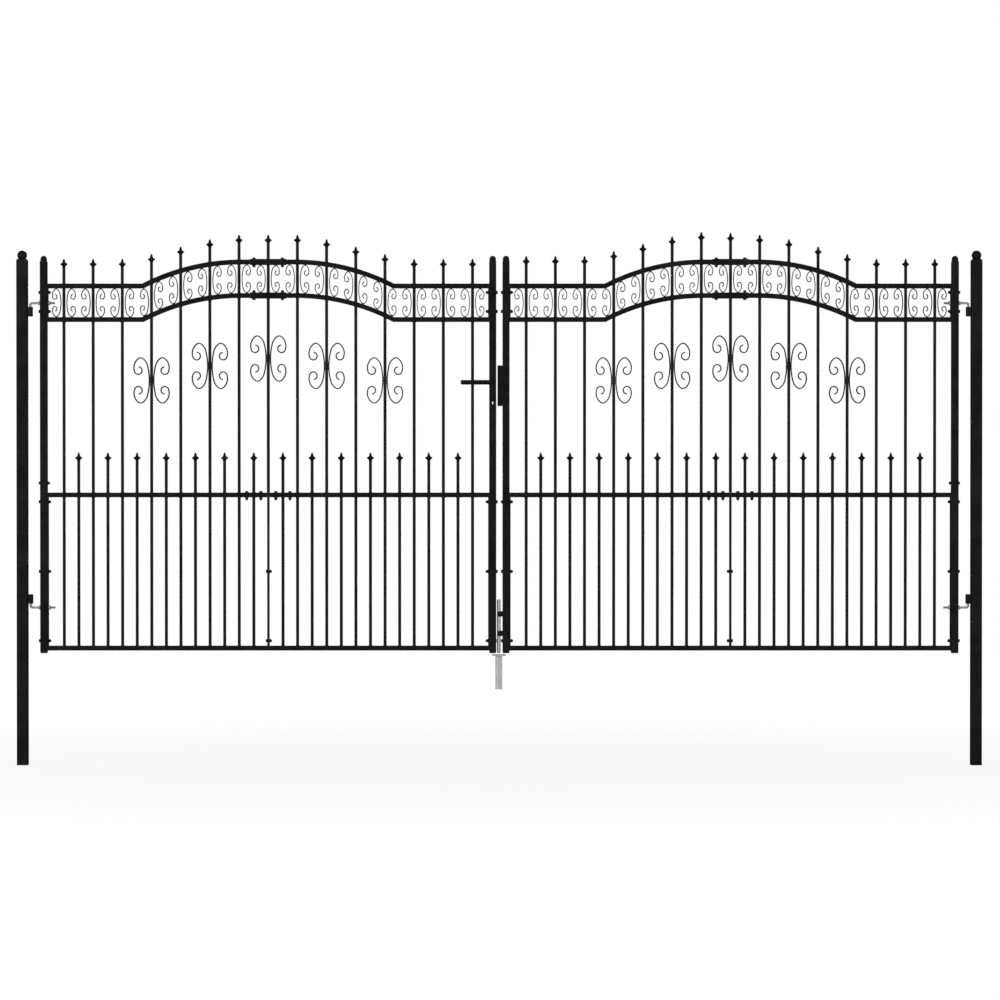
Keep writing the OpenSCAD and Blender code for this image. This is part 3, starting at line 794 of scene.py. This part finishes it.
def picket(work, w, foot, top):
    """A picket at distance w, from its foot to the point of its spear."""
    base = top - tip_h
    line = [(0.0, foot), (picket_r, foot)] + [(radius, base + share * tip_h) for radius, share in spear]
    turned(work, line, steps=20, place=at(w))


def tip_level(w):
    """Level of a long tip: the line of tips climbs with the arch and is cut off at both ends."""
    return long_tip + max(0.0, min(arch_rise, tip_step * (tip_start - abs(w) / pitch)))


bead = bmesh.new()
ring(bead, bead_line, steps=10)
bead = as_pattern(bead, "weld_bead")


def crossing(work, w, z, levels):
    """Weld beads above and below a rail where a picket goes through it."""
    arched = z in (frieze_z, top_z)
    angle = slope(w) if arched else 0.0
    lift = rise(w) if arched else 0.0
    for way in levels:
        spot = at(w, 0, z + lift + way * rail_half / math.cos(angle))
        flip = Matrix.Scale(way, 4, (0, 0, 1))
        stamp(work, bead, spot @ Matrix.Rotation(angle, 4, "Y") @ flip)


print("spear outline", len(spear), "points, bead", len(bead.polygons), "faces")

# %% [markdown]
# ## Half panels
# Each half of a leaf is welded up flat on a bench: two frieze rails, two plain rails, the pickets, and flat
# end plates that bolt to the stile and to the other half. The outer and inner halves are mirror images. In
# the photo the inner half of the right leaf has its long tips 12 mm higher than the others, so it is built
# with a lift.

# %% Half panels
inner_lift = 0.012
plate_half = 0.012
plate_ease = 0.0008
end_plate = (0.9252, 0.9295)
middle_plate = (0.00015, 0.0045)


def half_panel(lift):
    """Half of a leaf from its middle outward, with its long tips raised by lift."""
    work = bmesh.new()
    stamp(work, rails)
    for (low, high), low_rail, high_rail in (
        (end_plate, frieze_z, top_z), (end_plate, bottom_z, middle_z), (middle_plate, bottom_z, middle_z)
    ):
        low_corner = (low, -plate_half, low_rail - rail_half)
        eased_box(work, low_corner, (high, plate_half, high_rail + rail_half), plate_ease)
    for k in range(1, half_count + 1):
        w = k * pitch
        picket(work, w, bottom_z, tip_level(w) + lift)
        for z in (middle_z, frieze_z, top_z):
            crossing(work, w, z, (-1, 1))
        crossing(work, w, bottom_z, (1,))
        w -= pitch / 2
        picket(work, w, bottom_z, short_tip)
        crossing(work, w, middle_z, (-1, 1))
        crossing(work, w, bottom_z, (1,))
    return as_pattern(work, "half_panel")


plain_half = half_panel(0.0)
high_half = half_panel(inner_lift)
for side, place in leaves.items():
    for half, turn in (("outer", mirror_x), ("inner", Matrix())):
        work = stamped(high_half if (side, half) == ("right", "inner") else plain_half)
        name = f"{side}_{half}_panel"
        piece(work, f"{name}_weldment", "black_paint", f"{side}_leaf", [name], place @ to_middle @ turn)

# %% [markdown]
# ## Middle picket and sleeves
# The two halves of a leaf meet at the middle picket. Short sleeves of 25 mm tube slide over the ends of the
# frieze rails, the middle picket drops through them, and two bolts go down through each sleeve. The right
# leaf's middle tip stands 8 mm higher than the left one's, as in the photo.

# %% Middle pickets and sleeves
middle_lift = {"left": 0.0, "right": 0.008}
sleeve_half = 0.0125
sleeve_reach, sleeve_zone = 0.076, 0.077
sleeve_ease = 0.0015
for side, place in leaves.items():
    work = bmesh.new()
    picket(work, 0.0, middle_z + rail_half + seat, tip_level(0) + middle_lift[side])
    node = f"{side}_centre_picket"
    piece(work, f"{side}_middle_picket", "black_paint", f"{side}_leaf", [node], place @ to_middle)
    work = bmesh.new()
    for z in (frieze_z + arch_rise, top_z + arch_rise):
        low = (-sleeve_reach, -sleeve_half, z - sleeve_half)
        eased_box(work, low, (sleeve_reach, sleeve_half, z + sleeve_half), sleeve_ease)
    piece(work, f"{side}_sleeves", "black_paint", f"{side}_leaf", [f"{side}_rail_sleeves"], place @ to_middle)

# %% [markdown]
# ## Scrolls
# A scroll is flat bar bent round a jig. Its shape is six arcs for half of the C: a long easy spine, a
# shoulder, the tight top, and the curl. A chamfered rectangle is spun through the arcs one after another,
# and the lower half is a mirror of the upper one. The frieze scrolls are a little slimmer, and each is as
# tall as the space between the rails at its curl. Tack welds hold them.

# %% Scroll shape
top_share = 0.168
arcs = ((2.726, 14), (0.556, 38.5), (top_share, 76), (0.514, 73), (0.168, 203.5), (0.147, 45))
flat_corner = 0.0006


def scroll(height, thick, depth, slim=1.0, step=7):
    """A C scroll round the origin that curls toward +X, bent in steps of some degrees."""
    size = (height - thick) / 2
    bar = bar_end(thick, depth, flat_corner, Matrix(), 1)
    tip = bar.faces[:]
    first = tip[0]
    x, z, heading = 0.0, 0.0, math.pi / 2
    for share, degrees in arcs:
        radius = share * size
        angle = math.radians(degrees)
        centre_x = x + radius * math.sin(heading)
        centre_z = z - radius * math.cos(heading)
        tip = bend(bar, tip, (centre_x, 0, centre_z), (0, 1, 0), angle, max(4, round(degrees / step)))
        heading -= angle
        x = centre_x - radius * math.sin(heading)
        z = centre_z + radius * math.cos(heading)
    bmesh.ops.delete(bar, geom=[first], context="FACES_ONLY")
    everything = bar.verts[:] + bar.edges[:] + bar.faces[:]
    bmesh.ops.mirror(bar, geom=everything, matrix=Matrix(), merge_dist=1e-5, axis="Z")
    bmesh.ops.scale(bar, vec=(slim, 1, 1), verts=bar.verts)
    return as_pattern(bar, "scroll")


tack = bmesh.new()
bmesh.ops.create_icosphere(tack, subdivisions=1, radius=0.0022)
bmesh.ops.scale(tack, vec=(1.4, 1.3, 0.8), verts=tack.verts)
tack = as_pattern(tack, "tack_weld")
print("scroll of", len(arcs), "arcs, tack weld", len(tack.polygons), "faces")

# %% Frieze scrolls
spine, slim = 0.0125, 0.9
flat_t, flat_deep = 0.004, 0.008
free = (top_z - frieze_z - 2 * sleeve_half) / 2
curl_share = 0.384
curl_out = curl_share * slim * free
curl_r = top_share * free + flat_t / 2 + seat


def half_height(w):
    """Half the height of a frieze rail or its sleeve at distance w."""
    return sleeve_half if abs(w) < sleeve_zone else rail_half / math.cos(slope(w))


def curl_limits(w):
    """Underside of the top rail and upper side of the lower one, as far as a round curl at w reaches."""
    high, low = [], []
    for degrees in range(-40, 41, 8):
        a = math.radians(degrees)
        along = w + curl_r * math.sin(a)
        falls_off = curl_r * (1 - math.cos(a))
        high.append(top_z + rise(along) - half_height(along) + falls_off)
        low.append(frieze_z + rise(along) + half_height(along) - falls_off)
    return min(high) - seat, max(low) + seat


frieze = bmesh.new()
for k in range(-half_count, half_count + 1):
    for way, turn in ((-1, mirror_x), (1, Matrix())):
        start = k * pitch + way * spine
        curl_w = start + way * curl_out
        high, low = curl_limits(curl_w)
        stamp(frieze, scroll(high - low, flat_t, flat_deep, slim), at(start, 0, (high + low) / 2) @ turn)
        stamp(frieze, tack, at(curl_w, 0, high))
        stamp(frieze, tack, at(curl_w, 0, low))
frieze = as_pattern(frieze, "frieze_scrolls")
for side, place in leaves.items():
    name = f"{side}_frieze_scrolls"
    piece(stamped(frieze), f"{name}_bent", "black_paint", f"{side}_leaf", [name], place @ to_middle)

# %% Picket scrolls
large_h, large_t, large_deep = 0.195, 0.005, 0.010
large_z = 1.711
large_drops = ((0, 0.0), (-2, 0.031), (2, 0.031), (-4, 0.092), (4, 0.092))
tack_x, tack_y, tack_z = -0.0027, 0.0045, 0.012
large = scroll(large_h, large_t, large_deep, step=5)
on_pickets = bmesh.new()
for k, drop in large_drops:
    for turn in (Matrix(), mirror_x):
        spot = at(k * pitch, 0, large_z - drop) @ turn @ at(picket_r + large_t / 2 + seat)
        stamp(on_pickets, large, spot)
        for z in (-tack_z, 0.0, tack_z):
            for y in (-tack_y, tack_y):
                stamp(on_pickets, tack, spot @ at(tack_x, y, z))
on_pickets = as_pattern(on_pickets, "picket_scrolls")
for side, place in leaves.items():
    name = f"{side}_picket_scrolls"
    piece(stamped(on_pickets), f"{name}_bent", "black_paint", f"{side}_leaf", [name], place @ to_middle)

# %% [markdown]
# ## Hinges
# A hinge is a bent bolt that drops into an eye on the post. The eye is a short piece of thick tube, welded
# on through a block. The bolt is 10 mm bar with a right-angled bend and a cut thread: a circle is pushed up
# the pin, spun through the bend and pushed along the leg. The thread is a turned zigzag. A nut and a washer
# on each side of the stile set the leaf's gap to the post.

# %% Hinge eyes
eye_z = {"upper": 1.888, "lower": 0.679}
eye_line = [
    (0.0052, 0.0008), (0.0060, 0.0), (0.0097, 0.0), (0.0105, 0.0008), (0.0105, 0.0392), (0.0097, 0.04),
    (0.0060, 0.04), (0.0052, 0.0392),
]
eye_block_low, eye_block_high = (-0.0117, -0.0100, 0.0005), (-0.0056, 0.0100, 0.0395)
weld_r, weld_low, weld_high, weld_ease = 0.0022, 0.0015, 0.0385, 0.0009
weld_x, weld_y = -0.0094, 0.0083
eye = bmesh.new()
ring(eye, eye_line, steps=36)
eased_box(eye, eye_block_low, eye_block_high, plate_ease)
for y in (-weld_y, weld_y):
    ends = short_bar(eye, weld_r, weld_low, weld_high, 10, at(weld_x, y))
    round_off(eye, ends, weld_ease)
eye = as_pattern(eye, "hinge_eye")
for side, place in leaves.items():
    for level, z in eye_z.items():
        name = f"{side}_{level}_hinge_eye"
        piece(stamped(eye), f"{name}_tube", "black_paint", "posts", [name], place @ at(z=z))

# %% Hinge bolts
leg_z = {"upper": 1.944, "lower": 0.663}
hinge_bolt_r = 0.005
pin_l, hinge_bend, leg_l = 0.044, 0.008, 0.068
thread_start, thread_turns, thread_pitch = 0.0713, 20, 0.0015
hinge_bolt = round_end(hinge_bolt_r, at(z=-pin_l - hinge_bend), 24)
tip = push(hinge_bolt, hinge_bolt.faces[:], (0, 0, pin_l))
tip = bend(hinge_bolt, tip, (hinge_bend, 0, -hinge_bend), (0, 1, 0), math.pi / 2, steps=10)
push(hinge_bolt, tip, (leg_l, 0, 0))
thread = [(0.0, 0.0), (0.0044, 0.0)]
for count in range(thread_turns):
    thread += [(0.0050, 0.0011 + count * thread_pitch), (0.0043, 0.00185 + count * thread_pitch)]
thread += [(0.0047, 0.0312), (0.0036, 0.0327), (0.0, 0.0327)]
turned(hinge_bolt, thread, steps=20, place=at(thread_start) @ along_x)
hinge_bolt = as_pattern(hinge_bolt, "hinge_bolt")
for side, place in leaves.items():
    for level, turn in (("upper", Matrix()), ("lower", mirror_z)):
        name = f"{side}_{level}_hinge_bolt"
        spot = place @ at(z=leg_z[level]) @ turn
        piece(stamped(hinge_bolt), f"{name}_bent", "zinc", f"{side}_leaf", [name], spot)

# %% [markdown]
# ## Nuts and bolts
# A hexagon nut has its corners turned off, which leaves the curved corner facets; a small bevel on the end
# edges of a six-sided bar gives that look with few faces. The hinge nuts are zinc plated, each with a
# washer.

# %% Hinge nuts
plate_t = 0.0043
hinge_out, hinge_in = hinge_stile_u - stile_half, hinge_stile_u + stile_half
meeting_in, meeting_out = meeting_stile_u - stile_half, meeting_stile_u + stile_half
hinge_washer_r, hinge_washer_t = 0.0096, 0.0016
hinge_nut_across, hinge_nut_top = 0.017, 0.008
chamfer_share, disc_chamfer = 0.06, 0.0004
fine_sharp = 25


def hexagon(work, across, low, high, place=Matrix()):
    """A six-sided nut or head between two heights, with its end edges chamfered."""
    ends = short_bar(work, across / 2 / math.cos(math.pi / 6), low, high, 6, place)
    round_off(work, ends, across * chamfer_share)


def disc(work, radius, low, high, segments, place=Matrix()):
    """A flat round with a small chamfer, such as a washer or the end of a bolt."""
    round_off(work, short_bar(work, radius, low, high, segments, place), disc_chamfer, 1)


nuts = bmesh.new()
for z in leg_z.values():
    for spot in (at(hinge_out - seat, 0, z) @ back_x, at(hinge_in + plate_t + seat, 0, z) @ along_x):
        disc(nuts, hinge_washer_r, 0.0, hinge_washer_t, 20, spot)
        hexagon(nuts, hinge_nut_across, hinge_washer_t, hinge_nut_top, spot)
nuts = as_pattern(nuts, "hinge_nuts")
for side, place in leaves.items():
    node = f"{side}_hinge_nuts"
    piece(stamped(nuts), f"{side}_hexagon_nuts", "zinc", f"{side}_leaf", [node], place, fine_sharp)

# %% [markdown]
# The bolts that join the panels came coated with the gate, so they are black. Each has a washer, a head on
# the outer side and a nut with a little thread on the inner side. The sleeves' nuts face into the frieze,
# and cap nuts hang under the middle rail. One bolt goes through the hinge stile alone. One head on the left
# meeting stile is thin, because the drop bolt passes close to it.

# %% Panel bolt patterns
washer_r, washer_t = 0.0085, 0.0014
bolt_across = 0.013
head_top, nut_top, cap_nut_top = 0.0065, 0.0080, 0.0070
bolt_end_r, bolt_end_top = 0.0039, 0.0105
thin_head_r, thin_head_t = 0.0080, 0.0020
nut_dome_r, nut_dome_h = 0.0060, 0.0068
nut_dome_base, nut_dome_z, nut_dome_tip = 0.0066, 0.0068, 0.0136


def on_washer(top):
    """A new bmesh with a washer and a hexagon on it that reaches up to top."""
    work = bmesh.new()
    disc(work, washer_r, 0.0, washer_t, 16)
    hexagon(work, bolt_across, washer_t, top)
    return work


head = as_pattern(on_washer(head_top), "bolt_head")
thin_head = bmesh.new()
disc(thin_head, thin_head_r, 0.0, thin_head_t, 16)
thin_head = as_pattern(thin_head, "thin_head")
nut = on_washer(nut_top)
disc(nut, bolt_end_r, nut_top, bolt_end_top, 12)
nut = as_pattern(nut, "bolt_nut")
cap_nut = on_washer(cap_nut_top)
nut_dome = [(0.0, nut_dome_base), (nut_dome_r, nut_dome_base)]
nut_dome += [(nut_dome_r * math.cos(a), nut_dome_z + nut_dome_h * math.sin(a)) for a in quarter[:-1]]
turned(cap_nut, nut_dome + [(0.0, nut_dome_tip)], steps=16)
cap_nut = as_pattern(cap_nut, "cap_nut")
print("bolt head", len(head.polygons), "faces, nut", len(nut.polygons), "faces")

# %% Panel bolts
lone_bolt = 1.187
low_bolts = (0.815, 0.523)
stile_bolts = (1.989, 1.909, lone_bolt, 1.108, *low_bolts)
sleeve_bolt_w = 0.060
rail_bolt_ws = (-0.091, -0.0315, 0.0315, 0.091)
for side, place in leaves.items():
    work = bmesh.new()
    for z in stile_bolts:
        on_plate = 0.0 if z == lone_bolt else plate_t
        stamp(work, head, at(hinge_out, 0, z) @ back_x)
        stamp(work, nut, at(hinge_in + on_plate, 0, z) @ along_x)
        if z == lone_bolt:
            continue
        by_drop_bolt = side == "left" and z == low_bolts[-1]
        stamp(work, thin_head if by_drop_bolt else head, at(meeting_out, 0, z) @ along_x)
        stamp(work, nut, at(meeting_in - on_plate, 0, z) @ back_x)
    for z in low_bolts:
        stamp(work, head, at(middle_u - middle_plate[1], 0, z) @ back_x)
        stamp(work, nut, at(middle_u + middle_plate[1], 0, z) @ along_x)
    for w in (-sleeve_bolt_w, sleeve_bolt_w):
        for z, turn in ((frieze_z + arch_rise, mirror_z), (top_z + arch_rise, Matrix())):
            spot = at(middle_u + w, 0, z) @ turn
            stamp(work, head, spot @ at(z=sleeve_half))
            stamp(work, nut, spot @ at(z=-sleeve_half) @ mirror_z)
    for w in rail_bolt_ws:
        stamp(work, head, at(middle_u + w, 0, middle_z + rail_half))
        stamp(work, cap_nut, at(middle_u + w, 0, middle_z - rail_half) @ mirror_z)
    piece(work, f"{side}_panel_bolts", "black_paint", f"{side}_leaf", (), place, fine_sharp)

# %% [markdown]
# ## Lock
# The lever is round bar on a rose, bent square and rounded at its end, with a second one on the inner side.
# A spindle joins them through the stile, and a grub screw under each neck holds it.

# %% Levers
lever_z = 1.611
lever_r, lever_bend, lever_arm = 0.008, 0.012, 0.122
neck_start, neck_end = -0.0215, -0.045
lever_tip_ease = 0.0025
rose_line = [(0.0, 0.0005), (0.0122, 0.0005), (0.0125, 0.0008), (0.0125, 0.0045), (0.0118, 0.0058)]
rose_line += [(0.0085, 0.0065), (0.0085, 0.0105), (0.0, 0.0105)]
screw_line = [(0.0011, 0.0070), (0.0011, 0.0084), (0.0024, 0.0084), (0.0027, 0.0070)]
screw_y = -0.032
spindle_low, spindle_high, spindle_ease = (-0.004, -0.016, -0.004), (0.004, 0.034, 0.004), 0.0004
for name, way in (("front_lever", 1), ("rear_lever", -1)):
    bar = round_end(lever_r, at(y=neck_start) @ to_front, 28)
    tip = push(bar, bar.faces[:], (0, neck_end - neck_start, 0))
    tip = bend(bar, tip, (-lever_bend, neck_end, 0), (0, 0, 1), -math.pi / 2, steps=8)
    tip = push(bar, tip, (-lever_arm, 0, 0))
    round_off(bar, list({e for f in tip for e in f.edges}), lever_tip_ease, 3)
    turned(bar, rose_line, steps=36, place=at(y=-stile_half) @ to_front)
    ring(bar, screw_line, steps=12, place=at(y=screw_y) @ mirror_z)
    if way > 0:
        eased_box(bar, spindle_low, spindle_high, spindle_ease)
    spot = leaves["left"] @ at(meeting_stile_u, 0, lever_z) @ Matrix.Scale(way, 4, (0, 1, 0))
    piece(bar, f"{name}_bar", "black_paint", "lever", [name], spot)

# %% [markdown]
# The keep on the other leaf is folded sheet with slots for the latch and the bolt of the lock. The keep,
# the guides of the drop bolt and its socket are folded and drilled, so they are taken from the frame as
# they are, merged, and their edges eased. The keep and the guides are welded on, so their seats are moved
# up to the stile and stay sharp.

# %% Keep, guides and socket
stile_face = right_axis - meeting_out
near_face = 0.0005
for name, slot, body, ease, finish in (
    ("lock_keep", "black_paint", "right_leaf", 0.0007, powder_coat),
    ("bolt_guides", "black_paint", "right_leaf", 0.0010, powder_coat),
    ("ground_socket", "zinc", "posts", 0.0008, galvanised),
):
    work = bmesh.new()
    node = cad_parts[name]
    work.from_mesh(node.data)
    bmesh.ops.transform(work, matrix=node.matrix_world, verts=work.verts)
    bmesh.ops.remove_doubles(work, verts=work.verts, dist=1e-6)
    bmesh.ops.dissolve_limit(work, angle_limit=math.radians(1), verts=work.verts, edges=work.edges)
    seated = [v for v in work.verts if body == "right_leaf" and abs(v.co.x - stile_face) < near_face]
    corners = [
        e for e in work.edges
        if e.calc_face_angle(0) > math.radians(25) and not all(v in seated for v in e.verts)
    ]
    bmesh.ops.translate(work, vec=(seat, 0, 0), verts=seated)
    round_off(work, corners, ease)
    piece(work, f"{name}_eased", slot, body, [name], finish=finish)

# %% [markdown]
# ## Drop bolt
# The drop bolt is a plain rod with a chamfered foot, dipped in zinc as its socket is. It slides in two
# black lugs on the right leaf and drops into the socket, a tube under a square plate that is set flush with
# the drive.

# %% Drop bolt
rod_x, rod_foot = 2.005, 0.4715
rod_line = [(0.0, 0.0), (0.0050, 0.0), (0.0056, 0.0004), (0.0074, 0.0028), (0.0075, 0.0034), (0.0075, 0.2243)]
rod_line += [(0.0073, 0.2250), (0.0068, 0.2255), (0.0, 0.2255)]
work = bmesh.new()
turned(work, rod_line, steps=36, place=at(rod_x, 0, rod_foot))
piece(work, "drop_bolt_rod", "zinc", "drop_bolt", ["drop_bolt"], finish=galvanised)
